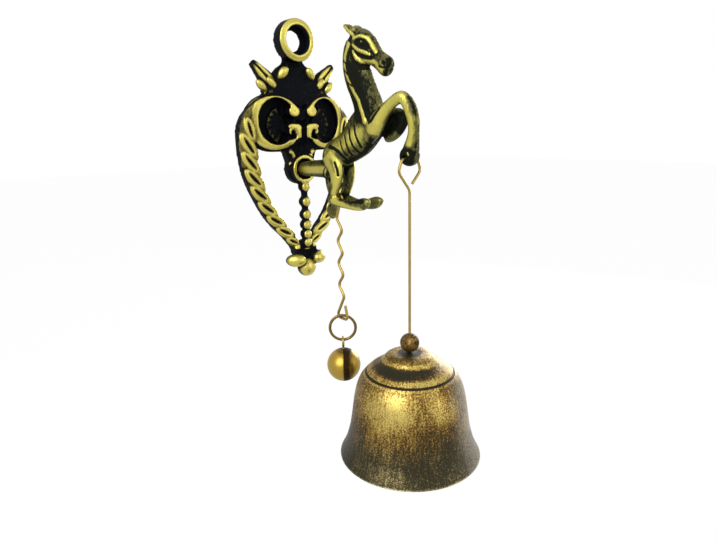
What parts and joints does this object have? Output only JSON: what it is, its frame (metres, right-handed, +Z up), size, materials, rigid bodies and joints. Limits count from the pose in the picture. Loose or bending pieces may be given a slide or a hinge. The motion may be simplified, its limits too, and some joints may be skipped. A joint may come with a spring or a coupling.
{
  "type": "horse visitors' bell",
  "caption": "Heart-shaped cast wall plate with a rearing horse that carries a small bell on a wire and a ball striker on a wavy wire.",
  "frame": {"origin": "centre of the screw hole, on the wall plane at the plate's back", "axes": "+Z up the wall, +Y into the wall, the horse and bell towards -Y, +X to the right of a viewer who faces the wall"},
  "size_m": [0.0592, 0.0996, 0.1695],
  "materials": {
    "plate_brass": "blackened, rubbed bright on raised faces",
    "horse_brass": "dark patina, rubbed bright on raised faces",
    "screw_steel": "plain",
    "wire_brass": "plain drawn wire",
    "bead_brass": "aged, dimpled",
    "bell_brass": "brushed antique patina",
    "ball_brass": "smooth aged"
  },
  "bodies": {
    "bracket": {"wall_plate": "plate_brass", "horse_bracket": "horse_brass", "bracket_screw": "screw_steel"},
    "bell_hanger": {"bell_wire": "wire_brass"},
    "bell_cup": {"bell": "bell_brass", "bell_bead": "bead_brass"},
    "striker": {"striker_wire": "wire_brass"},
    "ring": {"striker_ring": "wire_brass"},
    "ball": {"striker_eye": "wire_brass", "striker_ball": "ball_brass"}
  },
  "joints": [
    {"name": "bell_swing", "type": "hinge", "parent": "bracket", "child": "bell_hanger", "pos_m": [0, -0.0721, -0.0468], "axis": [1, 0, 0], "range_deg": [-30, 2.2]},
    {"name": "bell_spin", "type": "hinge", "parent": "bell_hanger", "child": "bell_cup", "pos_m": [0, -0.0721, -0.1194], "axis": [0, 0, 1], "continuous": true},
    {"name": "striker_swing", "type": "hinge", "parent": "bracket", "child": "striker", "pos_m": [0, -0.0306, -0.0642], "axis": [1, 0, 0], "range_deg": [-4, 12]},
    {"name": "ring_swing", "type": "hinge", "parent": "striker", "child": "ring", "pos_m": [0, -0.0306, -0.11645], "axis": [0, 1, 0], "range_deg": [-20, 20]},
    {"name": "ball_swing", "type": "hinge", "parent": "ring", "child": "ball", "pos_m": [0, -0.0306, -0.12636], "axis": [0.7771, -0.6293, 0], "range_deg": [-12, 20]}
  ]
}
